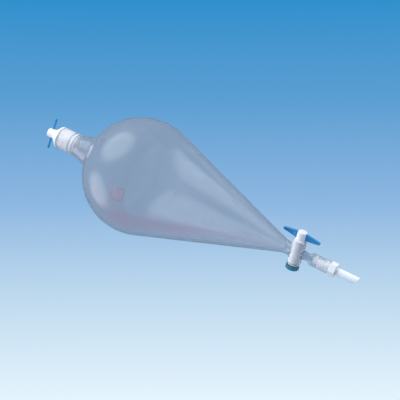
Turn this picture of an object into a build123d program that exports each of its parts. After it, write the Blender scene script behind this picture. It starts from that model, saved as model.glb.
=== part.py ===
from build123d import *
from math import cos, radians, sin, sqrt, tan
import os

# Pear-shaped separatory funnel, 2 litre nominal, with a screw-in stopper, a taper-plug
# stopcock and a removable stem held in a threaded socket.
# Frame: +Z runs up the funnel's axis to the stopper, the stopcock's axis is along X with
# its handle at +X, and the origin is on the funnel's axis at the height where a support
# ring of RING_SEAT_RADIUS meets the cone. Millimetres.

# Glass body
BULB_RADIUS = 80.0
CONE_HALF_ANGLE = 18.7
RING_SEAT_RADIUS = 50.0
WALL = 2.8
NECK_RADIUS = 15.2
NECK_BORE_RADIUS = 12.0
NECK_FLARE_ANGLE = 18.0         # from the axis, between the straight neck and the bulb
NECK_FLARE_TOP = 104.0          # above the bulb's centre
NECK_FOOT_RADIUS = 12.0         # of the arc that turns the flare into the bulb
RIM_HEIGHT = 133.3              # above the bulb's centre
RIM_CHAMFER = 0.7
THROAT_RADIUS = 8.4
THROAT_BLEND = 25.0
PORT_RADIUS = 2.6
PORT_BLEND = 6.0

# Stopcock barrel, fused to the cone's end
STOPCOCK_DROP = 241.1           # below the bulb's centre
BARREL_RADIUS = 9.0
BARREL_LENGTH = 33.0
BARREL_EDGE = 0.8
SEAM_FILLET = 2.5               # fused seams of the throat and the side tube on the barrel
TAPER = 0.1                     # change of diameter per length
TAPER_RADIUS_MID = 6.7          # barrel bore's radius at the funnel's axis
PLUG_CLEARANCE = 0.05

# Side tube and stem socket, below the barrel
SIDE_TUBE_RADIUS = 5.2
SOCKET_RADIUS = 8.6
SOCKET_TOP_DROP = 262.7         # below the bulb's centre, where the socket has its full width
SOCKET_SHOULDER = 4.0
SOCKET_SEAT_DROP = 265.3
SOCKET_SEAT_TAPER = 1.2
SOCKET_MOUTH_DROP = 288.9
CHAMBER_RADIUS = 6.4
SOCKET_THREAD_TOP_DROP = 272.5

# Rounded screw threads: pitch, then the radii of ridge crests and of the walls they stand on
NECK_PITCH = 4.0
NECK_THREAD_ROOT = 13.15
NECK_THREAD_CREST = 12.05
NECK_THREAD_TURNS = 3.5
STOPPER_THREAD_ROOT = 11.7
STOPPER_THREAD_CREST = 12.85
STOPPER_THREAD_TURNS = 3.75
SOCKET_PITCH = 3.0
SOCKET_THREAD_ROOT = 7.2
SOCKET_THREAD_CREST = 6.45
SOCKET_THREAD_TURNS = 4.25
BUSHING_THREAD_ROOT = 6.1
BUSHING_THREAD_CREST = 6.95
BUSHING_THREAD_TURNS = 4.25
TAIL_PITCH = 2.0
TAIL_THREAD_ROOT = 3.9
TAIL_THREAD_CREST = 4.5
TAIL_THREAD_TURNS = 3.5
NUT_THREAD_ROOT = 4.7
NUT_THREAD_CREST = 4.1
NUT_THREAD_TURNS = 1.5
CREST_SHARE = 0.15              # half a crest's width, as a share of the pitch
ROOT_SHARE = 0.28               # half a ridge's width at its root, as a share of the pitch
RIDGE_SINK = 0.4                # how far a ridge's foot reaches into its wall
TOUCH = 0.01                    # for choosing edges by their place

# Screw-in stopper
STOPPER_SEAT_GAP = 0.2
STOPPER_FLANGE_RADIUS = 15.3
STOPPER_FLANGE_HEIGHT = 3.0
STOPPER_CONE_HEIGHT = 8.2
STOPPER_HEAD_RADIUS = 6.45
STOPPER_HEAD_HEIGHT = 10.0
STOPPER_SHANK_LENGTH = 27.5
STOPPER_TIP_RADIUS = 11.8
STOPPER_EDGE = 0.8
STOPPER_DISH_RADIUS = 6.5
STOPPER_DISH_DEPTH = 2.5
STOPPER_ROD_RADIUS = 1.6
STOPPER_ROD_LENGTH = 44.0
STOPPER_ROD_TURN = 10.7         # degrees from X about Z
STOPPER_RING_SECTION = 1.2      # O-ring section radius
STOPPER_RING_OUTER = 11.9
STOPPER_GROOVE_LIFT = 1.1       # land below the groove

# Stopcock plug, handle, washer, O-ring and nut
PLUG_SHOULDER_RADIUS = 8.2
PLUG_SHOULDER_GAP = 0.3
PLUG_SHOULDER_LENGTH = 1.6
PLUG_HEAD_RADIUS = 6.3
PLUG_HEAD_LENGTH = 12.0
PLUG_HEAD_EDGE = 1.2
PLUG_BORE_RADIUS = 2.3
PLUG_TAIL_LENGTH = 9.2
HANDLE_SPAN = 53.0
HANDLE_ROOT_WIDTH = 9.2
HANDLE_TIP_WIDTH = 3.0
HANDLE_THICKNESS = 3.6
HANDLE_RIM = 1.1
HANDLE_RECESS = 0.9
HANDLE_ROUNDING = 1.3
WASHER_GAP = 0.25
WASHER_RADIUS = 7.8
WASHER_THICKNESS = 1.2
TAIL_SLEEVE_RADIUS = 4.65       # bore of the washer that slides along the tail
NUT_RING_SECTION = 0.8
NUT_RING_INNER = 4.75
SLIP_GAP = 0.05                 # between stacked washer, O-ring and nut
NUT_RADIUS = 9.0
NUT_LENGTH = 5.0
NUT_EDGE = 0.8
NUT_FLUTES = 12
NUT_FLUTE_RADIUS = 1.3

# Stem parts
STEM_RADIUS = 5.0
STEM_BORE_RADIUS = 3.4
STEM_TIP_DROP = 330.5           # below the bulb's centre, bevel's long side
STEM_BEVEL_RISE = 4.8
STEM_SEAT_GAP = 0.2
FERRULE_RADIUS = 6.2
FERRULE_BORE_RADIUS = 5.1
FERRULE_LENGTH = 3.0
FERRULE_CHAMFER = 0.6
STEM_RING_SECTION = 0.62
STEM_RING_INNER = 5.07
BUSHING_BORE_RADIUS = 5.12
BUSHING_NOSE_LENGTH = 17.0
HEX_ACROSS_FLATS = 16.4
HEX_LENGTH = 9.3
HEX_GAP = 0.3
HEX_CHAMFER = 1.0

SINE = sin(radians(CONE_HALF_ANGLE))
COSINE = cos(radians(CONE_HALF_ANGLE))
TANGENT = tan(radians(CONE_HALF_ANGLE))

bulb_z = BULB_RADIUS / SINE - RING_SEAT_RADIUS / TANGENT
rim_z = bulb_z + RIM_HEIGHT
stopcock_z = bulb_z - STOPCOCK_DROP
socket_shoulder_z = bulb_z - SOCKET_TOP_DROP
socket_mouth_z = bulb_z - SOCKET_MOUTH_DROP
socket_seat_z = bulb_z - SOCKET_SEAT_DROP
socket_thread_top_z = bulb_z - SOCKET_THREAD_TOP_DROP
stem_tip_z = bulb_z - STEM_TIP_DROP

stopper_seat_z = rim_z + STOPPER_SEAT_GAP
stopper_tip_z = stopper_seat_z - STOPPER_SHANK_LENGTH
stopper_cone_z = stopper_seat_z + STOPPER_FLANGE_HEIGHT
stopper_head_z = stopper_cone_z + STOPPER_CONE_HEIGHT
stopper_top_z = stopper_head_z + STOPPER_HEAD_HEIGHT
stopper_rod_z = (stopper_head_z + stopper_top_z) / 2
stopper_ring_z = stopper_tip_z + STOPPER_GROOVE_LIFT + STOPPER_RING_SECTION
stopper_thread_z = stopper_ring_z + 6.1 * STOPPER_RING_SECTION
neck_thread_z = stopper_thread_z + NECK_PITCH / 2

barrel_end_x = BARREL_LENGTH / 2
plug_shoulder_x = barrel_end_x + PLUG_SHOULDER_GAP
plug_head_x = plug_shoulder_x + PLUG_SHOULDER_LENGTH
plug_top_x = plug_head_x + PLUG_HEAD_LENGTH
handle_x = plug_head_x + PLUG_HEAD_LENGTH / 2
plug_small_x = -barrel_end_x + 1.0
tail_end_x = plug_small_x - 1.0 - PLUG_TAIL_LENGTH
washer_x = -barrel_end_x - WASHER_GAP
nut_ring_x = washer_x - WASHER_THICKNESS - SLIP_GAP - NUT_RING_SECTION
nut_x = nut_ring_x - NUT_RING_SECTION - SLIP_GAP
tail_thread_x = tail_end_x + 1.0
nut_thread_x = tail_thread_x + TAIL_PITCH / 2

stem_ring_z = socket_seat_z - SOCKET_SEAT_TAPER - STEM_RING_SECTION
ferrule_top_z = stem_ring_z - STEM_RING_SECTION - SLIP_GAP
bushing_top_z = ferrule_top_z - FERRULE_LENGTH - SLIP_GAP
hex_top_z = socket_mouth_z - HEX_GAP
hex_bottom_z = hex_top_z - HEX_LENGTH
bushing_thread_z = hex_top_z + 1.6
socket_thread_z = bushing_thread_z + SOCKET_PITCH / 2

stopcock_axis = Axis((0, 0, stopcock_z), (1, 0, 0))
handle_plane = Plane((handle_x, 0, stopcock_z), x_dir=(1, 0, 0), z_dir=(0, -1, 0))


def barrel_bore_radius(x):
    """Radius of the barrel's tapered bore at a distance x along the stopcock's axis."""
    return TAPER_RADIUS_MID + x * TAPER / 2


def neck_flare(inset, neck_radius):
    """Start of the flare on a neck of this radius, and top, middle and foot of the arc that
    turns it into the bulb, on the surface this far inside the glass's outside."""
    sine, cosine = sin(radians(NECK_FLARE_ANGLE)), cos(radians(NECK_FLARE_ANGLE))
    reach = BULB_RADIUS + NECK_FOOT_RADIUS
    above_r = NECK_RADIUS + NECK_FOOT_RADIUS * cosine
    above_h = NECK_FLARE_TOP + NECK_FOOT_RADIUS * sine
    nearest = above_h * cosine - above_r * sine
    down = nearest - sqrt(nearest**2 - above_r**2 - above_h**2 + reach**2)
    centre_r = above_r + down * sine
    centre_h = above_h - down * cosine
    arc_radius = NECK_FOOT_RADIUS + inset
    mean_r = cosine + centre_r / reach
    mean_h = sine + centre_h / reach
    mean = sqrt(mean_r**2 + mean_h**2)
    sphere_share = (BULB_RADIUS - inset) / reach
    run = (neck_radius - NECK_RADIUS + inset * cosine) / sine
    start = (neck_radius, bulb_z + NECK_FLARE_TOP - inset * sine - run * cosine)
    top = (centre_r - arc_radius * cosine, bulb_z + centre_h - arc_radius * sine)
    middle = (
        centre_r - arc_radius * mean_r / mean,
        bulb_z + centre_h - arc_radius * mean_h / mean,
    )
    foot = (centre_r * sphere_share, bulb_z + centre_h * sphere_share)
    return start, top, middle, foot


def cone_z(cone_radius, sphere_radius):
    """Height at which the cone that is tangent to this sphere has the given radius."""
    return bulb_z - sphere_radius / SINE + cone_radius / TANGENT


def throat_blend(throat_radius, sphere_radius, blend_radius):
    """Top, middle and foot of the arc that turns the cone into a straight throat."""
    corner_z = cone_z(throat_radius, sphere_radius)
    half_turn = radians(CONE_HALF_ANGLE) / 2
    run = blend_radius * tan(half_turn)
    centre_r = throat_radius + blend_radius
    centre_z = corner_z - run
    top = (throat_radius + run * SINE, corner_z + run * COSINE)
    middle = (centre_r - blend_radius * cos(half_turn), centre_z + blend_radius * sin(half_turn))
    foot = (throat_radius, centre_z)
    return top, middle, foot


def thread_ridge(pitch, turns, start, direction, root_radius, crest_radius):
    """A helical ridge standing outwards on a shaft or inwards in a bore, and sunk into its wall."""
    outwards = 1 if crest_radius > root_radius else -1
    height = abs(crest_radius - root_radius)
    crest_half = CREST_SHARE * pitch
    root_half = ROOT_SHARE * pitch
    foot_half = root_half + (root_half - crest_half) * RIDGE_SINK / height
    with BuildPart() as ridge:
        with BuildLine() as path:
            Helix(pitch, turns * pitch, root_radius, center=start, direction=direction)
        begin = path.line @ 0
        with BuildSketch(Plane(begin, x_dir=begin - Vector(start), z_dir=path.line % 0)):
            with BuildLine():
                Polyline(
                    (-outwards * RIDGE_SINK, -foot_half),
                    (outwards * height, -crest_half),
                    (outwards * height, crest_half),
                    (-outwards * RIDGE_SINK, foot_half),
                    close=True,
                )
            make_face()
        sweep(path=path.line, is_frenet=True)
    return ridge.part


os.makedirs("parts", exist_ok=True)

# Glass body: threaded neck, bulb, cone, stopcock barrel, side tube and stem socket in one piece
flare_start, flare_top, flare_middle, flare_foot = neck_flare(0, NECK_RADIUS)
inner_bulb = BULB_RADIUS - WALL
inner_start, inner_top, inner_middle, inner_foot = neck_flare(WALL, NECK_BORE_RADIUS)
throat_top, throat_middle, throat_foot = throat_blend(THROAT_RADIUS, BULB_RADIUS, THROAT_BLEND)
port_top, port_middle, port_foot = throat_blend(PORT_RADIUS, inner_bulb, PORT_BLEND)
cone_top = (BULB_RADIUS * COSINE, bulb_z - BULB_RADIUS * SINE)
inner_cone_top = (inner_bulb * COSINE, bulb_z - inner_bulb * SINE)
neck_ridge = thread_ridge(
    NECK_PITCH, NECK_THREAD_TURNS, (0, 0, neck_thread_z), (0, 0, 1),
    NECK_THREAD_ROOT, NECK_THREAD_CREST,
)
socket_ridge = thread_ridge(
    SOCKET_PITCH, SOCKET_THREAD_TURNS, (0, 0, socket_thread_z), (0, 0, 1),
    SOCKET_THREAD_ROOT, SOCKET_THREAD_CREST,
)

with BuildPart() as glass_body:
    with BuildSketch(Plane.XZ):
        with BuildLine():
            Polyline((0, rim_z), (NECK_RADIUS, rim_z), flare_start, flare_top)
            ThreePointArc(flare_top, flare_middle, flare_foot)
            ThreePointArc(flare_foot, (BULB_RADIUS, bulb_z), cone_top)
            Line(cone_top, throat_top)
            ThreePointArc(throat_top, throat_middle, throat_foot)
            Polyline(
                throat_foot,
                (THROAT_RADIUS, stopcock_z),
                (SIDE_TUBE_RADIUS, stopcock_z),
                (SIDE_TUBE_RADIUS, socket_shoulder_z + SOCKET_SHOULDER),
                (SOCKET_RADIUS, socket_shoulder_z),
                (SOCKET_RADIUS, socket_mouth_z),
                (0, socket_mouth_z),
                (0, rim_z),
            )
        make_face()
    revolve(axis=Axis.Z)
    with BuildSketch(Plane.YZ.offset(-barrel_end_x)):
        with Locations((0, stopcock_z)):
            Circle(BARREL_RADIUS)
    extrude(amount=BARREL_LENGTH)
    barrel_rims = glass_body.edges().filter_by(GeomType.CIRCLE).filter_by(
        lambda edge: abs(abs(edge.center().X) - barrel_end_x) < TOUCH
    )
    fillet(barrel_rims, BARREL_EDGE)
    for seam_drop in (-BARREL_RADIUS, BARREL_RADIUS):
        seam = glass_body.edges().filter_by(GeomType.BSPLINE).sort_by_distance((0, 0, stopcock_z - seam_drop))
        fillet(seam[0], SEAM_FILLET)
    with BuildSketch(Plane.XZ):
        with BuildLine():
            Polyline(
                (0, rim_z),
                (NECK_THREAD_ROOT + RIM_CHAMFER, rim_z),
                (NECK_THREAD_ROOT, rim_z - RIM_CHAMFER),
                (NECK_THREAD_ROOT, neck_thread_z - 0.85 * NECK_PITCH),
                (NECK_BORE_RADIUS, neck_thread_z - 1.15 * NECK_PITCH),
                inner_start,
                inner_top,
            )
            ThreePointArc(inner_top, inner_middle, inner_foot)
            ThreePointArc(inner_foot, (inner_bulb, bulb_z), inner_cone_top)
            Line(inner_cone_top, port_top)
            ThreePointArc(port_top, port_middle, port_foot)
            Polyline(
                port_foot,
                (PORT_RADIUS, socket_seat_z),
                (CHAMBER_RADIUS - SOCKET_SEAT_TAPER, socket_seat_z),
                (CHAMBER_RADIUS, socket_seat_z - SOCKET_SEAT_TAPER),
                (CHAMBER_RADIUS, socket_thread_top_z),
                (SOCKET_THREAD_ROOT, socket_thread_top_z - 1.0),
                (SOCKET_THREAD_ROOT, socket_mouth_z),
                (0, socket_mouth_z),
                (0, rim_z),
            )
        make_face()
    revolve(axis=Axis.Z, mode=Mode.SUBTRACT)
    with BuildSketch(Plane.XZ):
        with BuildLine():
            Polyline(
                (-barrel_end_x, stopcock_z),
                (-barrel_end_x, stopcock_z + barrel_bore_radius(-barrel_end_x)),
                (barrel_end_x, stopcock_z + barrel_bore_radius(barrel_end_x)),
                (barrel_end_x, stopcock_z),
                close=True,
            )
        make_face()
    revolve(axis=stopcock_axis, mode=Mode.SUBTRACT)
    add(neck_ridge)
    add(socket_ridge)

# Stopper: plug with a dished tip, conical shoulder and small head, its rod and its O-ring
stopper_ridge = thread_ridge(
    NECK_PITCH, STOPPER_THREAD_TURNS, (0, 0, stopper_thread_z), (0, 0, 1),
    STOPPER_THREAD_ROOT, STOPPER_THREAD_CREST,
)
rod_direction = Vector(cos(radians(STOPPER_ROD_TURN)), sin(radians(STOPPER_ROD_TURN)), 0)
rod_plane = Plane((0, 0, stopper_rod_z), x_dir=(0, 0, 1), z_dir=rod_direction)
stopper_groove_radius = STOPPER_RING_OUTER - 2 * STOPPER_RING_SECTION - PLUG_CLEARANCE
stopper_groove_half = STOPPER_RING_SECTION + SLIP_GAP

with BuildPart() as stopper_plug:
    with BuildSketch(Plane.XZ):
        with BuildLine():
            Polyline(
                (0, stopper_tip_z + STOPPER_DISH_DEPTH),
                (STOPPER_DISH_RADIUS, stopper_tip_z + STOPPER_DISH_DEPTH),
                (STOPPER_DISH_RADIUS, stopper_tip_z),
                (STOPPER_TIP_RADIUS - STOPPER_EDGE / 2, stopper_tip_z),
                (STOPPER_TIP_RADIUS, stopper_tip_z + STOPPER_EDGE / 2),
                (STOPPER_TIP_RADIUS, stopper_ring_z - stopper_groove_half),
                (stopper_groove_radius, stopper_ring_z - stopper_groove_half),
                (stopper_groove_radius, stopper_ring_z + stopper_groove_half),
                (STOPPER_THREAD_ROOT, stopper_ring_z + stopper_groove_half),
                (STOPPER_THREAD_ROOT, stopper_seat_z),
                (STOPPER_FLANGE_RADIUS, stopper_seat_z),
                (STOPPER_FLANGE_RADIUS, stopper_cone_z - STOPPER_EDGE),
                (STOPPER_FLANGE_RADIUS - STOPPER_EDGE, stopper_cone_z),
                (STOPPER_HEAD_RADIUS, stopper_head_z),
                (STOPPER_HEAD_RADIUS, stopper_top_z - STOPPER_EDGE),
                (STOPPER_HEAD_RADIUS - STOPPER_EDGE, stopper_top_z),
                (0, stopper_top_z),
                close=True,
            )
        make_face()
    revolve(axis=Axis.Z)
    add(stopper_ridge)
    with BuildSketch(rod_plane.offset(-STOPPER_HEAD_RADIUS - 1)):
        Circle(STOPPER_ROD_RADIUS)
    extrude(amount=2 * STOPPER_HEAD_RADIUS + 2, mode=Mode.SUBTRACT)

with BuildPart() as stopper_rod:
    with BuildSketch(rod_plane.offset(-STOPPER_ROD_LENGTH / 2)):
        Circle(STOPPER_ROD_RADIUS)
    extrude(amount=STOPPER_ROD_LENGTH)
    fillet(stopper_rod.edges().filter_by(GeomType.CIRCLE), STOPPER_ROD_RADIUS / 2)

with BuildPart() as stopper_o_ring:
    with BuildSketch(Plane.XZ):
        with Locations((STOPPER_RING_OUTER - STOPPER_RING_SECTION, stopper_ring_z)):
            Circle(STOPPER_RING_SECTION)
    revolve(axis=Axis.Z)

# Stopcock: tapered plug with a cross bore, a slotted head and a threaded tail
tail_ridge = thread_ridge(
    TAIL_PITCH, TAIL_THREAD_TURNS, (tail_thread_x, 0, stopcock_z), (1, 0, 0),
    TAIL_THREAD_ROOT, TAIL_THREAD_CREST,
)

with BuildPart() as stopcock_plug:
    with BuildSketch(Plane.XZ):
        with BuildLine():
            Polyline(
                (tail_end_x, stopcock_z),
                (tail_end_x, stopcock_z + TAIL_THREAD_ROOT),
                (plug_small_x, stopcock_z + TAIL_THREAD_ROOT),
                (plug_small_x, stopcock_z + barrel_bore_radius(plug_small_x) - PLUG_CLEARANCE),
                (plug_shoulder_x, stopcock_z + barrel_bore_radius(plug_shoulder_x) - PLUG_CLEARANCE),
                (plug_shoulder_x, stopcock_z + PLUG_SHOULDER_RADIUS),
                (plug_head_x, stopcock_z + PLUG_SHOULDER_RADIUS),
                (plug_head_x, stopcock_z + PLUG_HEAD_RADIUS),
                (plug_top_x - PLUG_HEAD_EDGE, stopcock_z + PLUG_HEAD_RADIUS),
                (plug_top_x, stopcock_z + PLUG_HEAD_RADIUS - PLUG_HEAD_EDGE),
                (plug_top_x, stopcock_z),
                close=True,
            )
        make_face()
    revolve(axis=stopcock_axis)
    add(tail_ridge)
    with BuildSketch(Plane.XY.offset(stopcock_z - TAPER_RADIUS_MID - 2)):
        Circle(PLUG_BORE_RADIUS)
    extrude(amount=2 * TAPER_RADIUS_MID + 4, mode=Mode.SUBTRACT)
    with BuildSketch(Plane.XY.offset(stopcock_z - PLUG_HEAD_RADIUS - 1)):
        with Locations((handle_x, 0)):
            Rectangle(HANDLE_ROOT_WIDTH, HANDLE_THICKNESS)
    extrude(amount=2 * PLUG_HEAD_RADIUS + 2, mode=Mode.SUBTRACT)

# Handle: one blade through the head, straight inside it and tapering to round tips outside,
# with a raised rim round a recessed web on both faces
with BuildPart() as stopcock_handle:
    with BuildSketch(handle_plane.offset(-HANDLE_THICKNESS / 2)):
        with BuildLine():
            Polyline(
                (-HANDLE_ROOT_WIDTH / 2, -PLUG_HEAD_RADIUS),
                (-HANDLE_TIP_WIDTH / 2, -HANDLE_SPAN / 2),
                (HANDLE_TIP_WIDTH / 2, -HANDLE_SPAN / 2),
                (HANDLE_ROOT_WIDTH / 2, -PLUG_HEAD_RADIUS),
                (HANDLE_ROOT_WIDTH / 2, PLUG_HEAD_RADIUS),
                (HANDLE_TIP_WIDTH / 2, HANDLE_SPAN / 2),
                (-HANDLE_TIP_WIDTH / 2, HANDLE_SPAN / 2),
                (-HANDLE_ROOT_WIDTH / 2, PLUG_HEAD_RADIUS),
                close=True,
            )
        make_face()
    extrude(amount=HANDLE_THICKNESS)
    tip_corners = stopcock_handle.edges().filter_by(Axis.Y).filter_by(
        lambda edge: abs(abs(edge.center().Z - stopcock_z) - HANDLE_SPAN / 2) < TOUCH
    )
    fillet(tip_corners, HANDLE_ROUNDING)
    web_start = PLUG_HEAD_RADIUS + HANDLE_RIM
    web_end = HANDLE_SPAN / 2 - 2 * HANDLE_RIM
    for face_offset in (-HANDLE_THICKNESS / 2, HANDLE_THICKNESS / 2 - HANDLE_RECESS):
        with BuildSketch(handle_plane.offset(face_offset)):
            for side in (-1, 1):
                with BuildLine():
                    Polyline(
                        (-HANDLE_ROOT_WIDTH / 2 + HANDLE_RIM, side * web_start),
                        (-HANDLE_TIP_WIDTH / 2 + HANDLE_RIM, side * web_end),
                        (HANDLE_TIP_WIDTH / 2 - HANDLE_RIM, side * web_end),
                        (HANDLE_ROOT_WIDTH / 2 - HANDLE_RIM, side * web_start),
                        close=True,
                    )
                make_face()
        extrude(amount=HANDLE_RECESS, mode=Mode.SUBTRACT)

with BuildPart() as stopcock_washer:
    with BuildSketch(Plane.YZ.offset(washer_x - WASHER_THICKNESS)):
        with Locations((0, stopcock_z)):
            Circle(WASHER_RADIUS)
            Circle(TAIL_SLEEVE_RADIUS, mode=Mode.SUBTRACT)
    extrude(amount=WASHER_THICKNESS)

with BuildPart() as stopcock_o_ring:
    with BuildSketch(Plane.XZ):
        with Locations((nut_ring_x, stopcock_z + NUT_RING_INNER + NUT_RING_SECTION)):
            Circle(NUT_RING_SECTION)
    revolve(axis=stopcock_axis)

# Nut: knurled with shallow flutes, threaded to the plug's tail
nut_ridge = thread_ridge(
    TAIL_PITCH, NUT_THREAD_TURNS, (nut_thread_x, 0, stopcock_z), (1, 0, 0),
    NUT_THREAD_ROOT, NUT_THREAD_CREST,
)

with BuildPart() as stopcock_nut:
    with BuildSketch(Plane.YZ.offset(nut_x - NUT_LENGTH)):
        with Locations((0, stopcock_z)):
            Circle(NUT_RADIUS)
    extrude(amount=NUT_LENGTH)
    chamfer(stopcock_nut.edges().filter_by(GeomType.CIRCLE), NUT_EDGE)
    with BuildSketch(Plane.YZ.offset(nut_x - NUT_LENGTH)):
        with Locations((0, stopcock_z)):
            with PolarLocations(NUT_RADIUS + NUT_FLUTE_RADIUS / 2, NUT_FLUTES):
                Circle(NUT_FLUTE_RADIUS)
    extrude(amount=NUT_LENGTH, mode=Mode.SUBTRACT)
    with BuildSketch(Plane.YZ.offset(nut_x - NUT_LENGTH)):
        with Locations((0, stopcock_z)):
            Circle(NUT_THREAD_ROOT)
    extrude(amount=NUT_LENGTH, mode=Mode.SUBTRACT)
    add(nut_ridge)

# Stem socket's parts: hex bushing, ferrule and O-ring round the stem tube
bushing_ridge = thread_ridge(
    SOCKET_PITCH, BUSHING_THREAD_TURNS, (0, 0, bushing_thread_z), (0, 0, 1),
    BUSHING_THREAD_ROOT, BUSHING_THREAD_CREST,
)

with BuildPart() as stem_bushing:
    with BuildSketch(Plane.XY.offset(hex_bottom_z)):
        RegularPolygon(HEX_ACROSS_FLATS / 2, 6, major_radius=False, rotation=30)
    extrude(amount=HEX_LENGTH)
    with BuildSketch(Plane.XZ):
        with BuildLine():
            Polyline(
                (0, hex_bottom_z),
                (HEX_ACROSS_FLATS / 2, hex_bottom_z),
                (HEX_ACROSS_FLATS / 2 + 2 * HEX_CHAMFER, hex_bottom_z + HEX_CHAMFER),
                (HEX_ACROSS_FLATS / 2 + 2 * HEX_CHAMFER, hex_top_z - HEX_CHAMFER),
                (HEX_ACROSS_FLATS / 2, hex_top_z),
                (0, hex_top_z),
                close=True,
            )
        make_face()
    revolve(axis=Axis.Z, mode=Mode.INTERSECT)
    with BuildSketch(Plane.XY.offset(hex_top_z)):
        Circle(BUSHING_THREAD_ROOT)
    extrude(amount=bushing_top_z - hex_top_z)
    add(bushing_ridge)
    with BuildSketch(Plane.XY.offset(hex_bottom_z)):
        Circle(BUSHING_BORE_RADIUS)
    extrude(amount=bushing_top_z - hex_bottom_z, mode=Mode.SUBTRACT)

with BuildPart() as stem_ferrule:
    with BuildSketch(Plane.XY.offset(ferrule_top_z - FERRULE_LENGTH)):
        Circle(FERRULE_RADIUS)
        Circle(FERRULE_BORE_RADIUS, mode=Mode.SUBTRACT)
    extrude(amount=FERRULE_LENGTH)
    outer_rims = stem_ferrule.edges().filter_by(GeomType.CIRCLE).sort_by(SortBy.RADIUS)[-2:]
    chamfer(outer_rims, FERRULE_CHAMFER)

with BuildPart() as stem_o_ring:
    with BuildSketch(Plane.XZ):
        with Locations((STEM_RING_INNER + STEM_RING_SECTION, stem_ring_z)):
            Circle(STEM_RING_SECTION)
    revolve(axis=Axis.Z)

# Stem tube: its tip is cut on the slant, long side towards +X
with BuildPart() as stem_tube:
    with BuildSketch(Plane.XY.offset(stem_tip_z)):
        Circle(STEM_RADIUS)
        Circle(STEM_BORE_RADIUS, mode=Mode.SUBTRACT)
    extrude(amount=socket_seat_z - STEM_SEAT_GAP - stem_tip_z)
    with BuildSketch(Plane.XZ.offset(-2 * STEM_RADIUS)):
        with BuildLine():
            Polyline(
                (STEM_RADIUS, stem_tip_z),
                (-STEM_RADIUS - 1, stem_tip_z),
                (-STEM_RADIUS - 1, stem_tip_z + STEM_BEVEL_RISE * (1 + 1 / (2 * STEM_RADIUS))),
                close=True,
            )
        make_face()
    extrude(amount=4 * STEM_RADIUS, mode=Mode.SUBTRACT)

nodes = {
    "glass_body": glass_body.part,
    "stopper_plug": stopper_plug.part,
    "stopper_rod": stopper_rod.part,
    "stopper_o_ring": stopper_o_ring.part,
    "stopcock_plug": stopcock_plug.part,
    "stopcock_handle": stopcock_handle.part,
    "stopcock_washer": stopcock_washer.part,
    "stopcock_o_ring": stopcock_o_ring.part,
    "stopcock_nut": stopcock_nut.part,
    "stem_bushing": stem_bushing.part,
    "stem_ferrule": stem_ferrule.part,
    "stem_o_ring": stem_o_ring.part,
    "stem_tube": stem_tube.part,
}
for node_name, solid in nodes.items():
    solid.label = node_name
    export_step(solid, f"parts/{node_name}.step")
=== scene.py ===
import bmesh
import bpy
from math import atan2, ceil, cos, hypot, pi, radians, sin, sqrt, tan
from mathutils import Matrix, Vector
from types import SimpleNamespace


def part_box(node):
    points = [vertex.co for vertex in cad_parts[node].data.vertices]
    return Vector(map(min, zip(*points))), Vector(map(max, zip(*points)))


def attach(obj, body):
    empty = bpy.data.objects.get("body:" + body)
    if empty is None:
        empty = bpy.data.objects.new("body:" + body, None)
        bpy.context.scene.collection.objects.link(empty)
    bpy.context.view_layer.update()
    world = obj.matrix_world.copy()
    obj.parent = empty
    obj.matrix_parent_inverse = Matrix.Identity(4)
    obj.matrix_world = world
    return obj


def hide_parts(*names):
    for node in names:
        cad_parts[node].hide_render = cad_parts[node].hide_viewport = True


# The looks of a 2 litre separatory funnel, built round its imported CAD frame.
# Shapes are worked out in millimetres and scaled to metres when their meshes are made.
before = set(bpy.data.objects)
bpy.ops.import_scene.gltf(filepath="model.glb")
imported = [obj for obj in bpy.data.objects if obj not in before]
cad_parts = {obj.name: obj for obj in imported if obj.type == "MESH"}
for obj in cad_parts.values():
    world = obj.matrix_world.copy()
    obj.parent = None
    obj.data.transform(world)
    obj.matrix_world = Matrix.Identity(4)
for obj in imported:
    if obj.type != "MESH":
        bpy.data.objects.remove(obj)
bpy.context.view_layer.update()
MM = 0.001

# ---------------------------------------------------------------- sizes, as in the CAD model
BULB_RADIUS = 80.0
CONE_HALF_ANGLE = radians(18.7)
WALL = 2.8
NECK_RADIUS = 15.2
NECK_BORE_RADIUS = 12.0
NECK_FLARE_ANGLE = radians(18.0)
NECK_FLARE_TOP = 104.0          # above the bulb's centre
NECK_FOOT_RADIUS = 12.0
RIM_HEIGHT = 133.3
THROAT_RADIUS = 8.4
THROAT_BLEND = 25.0
PORT_RADIUS = 2.6
PORT_BLEND = 6.0
BARREL_RADIUS = 9.0
TAPER = 0.1
TAPER_RADIUS_MID = 6.7
SIDE_TUBE_RADIUS = 5.2
SOCKET_RADIUS = 8.6
SOCKET_SHOULDER_RISE = 26.2     # from the socket's mouth to where it has its full width
SOCKET_SHOULDER = 4.0
SOCKET_SEAT_RISE = 23.6
SOCKET_THREAD_RISE = 16.4
SOCKET_SEAT_TAPER = 1.2
CHAMBER_RADIUS = 6.4
NECK_PITCH = 4.0
NECK_THREAD_ROOT = 13.15
NECK_THREAD_HEIGHT = 1.1
NECK_THREAD_FOOT_RISE = 8.9     # above the stopper's tip
SOCKET_PITCH = 3.0
SOCKET_THREAD_ROOT = 7.2
SOCKET_THREAD_HEIGHT = 0.75
NUT_PITCH = 2.0
NUT_THREAD_HEIGHT = 0.6
TAIL_THREAD_ROOT = 3.9
NUT_THREAD_ROOT = 4.7
STEM_RADIUS = 5.0
STEM_BORE_RADIUS = 3.4
STEM_BEVEL_RISE = 4.8
WELD_RADIUS = 2.5
CONTACT = 0.02                  # how far PTFE and nylon press into the glass they seal on


def low(node, axis):
    """A CAD node's lowest coordinate along an axis, in millimetres."""
    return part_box(node)[0][axis] / MM


def high(node, axis):
    """A CAD node's highest coordinate along an axis, in millimetres."""
    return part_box(node)[1][axis] / MM


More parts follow.
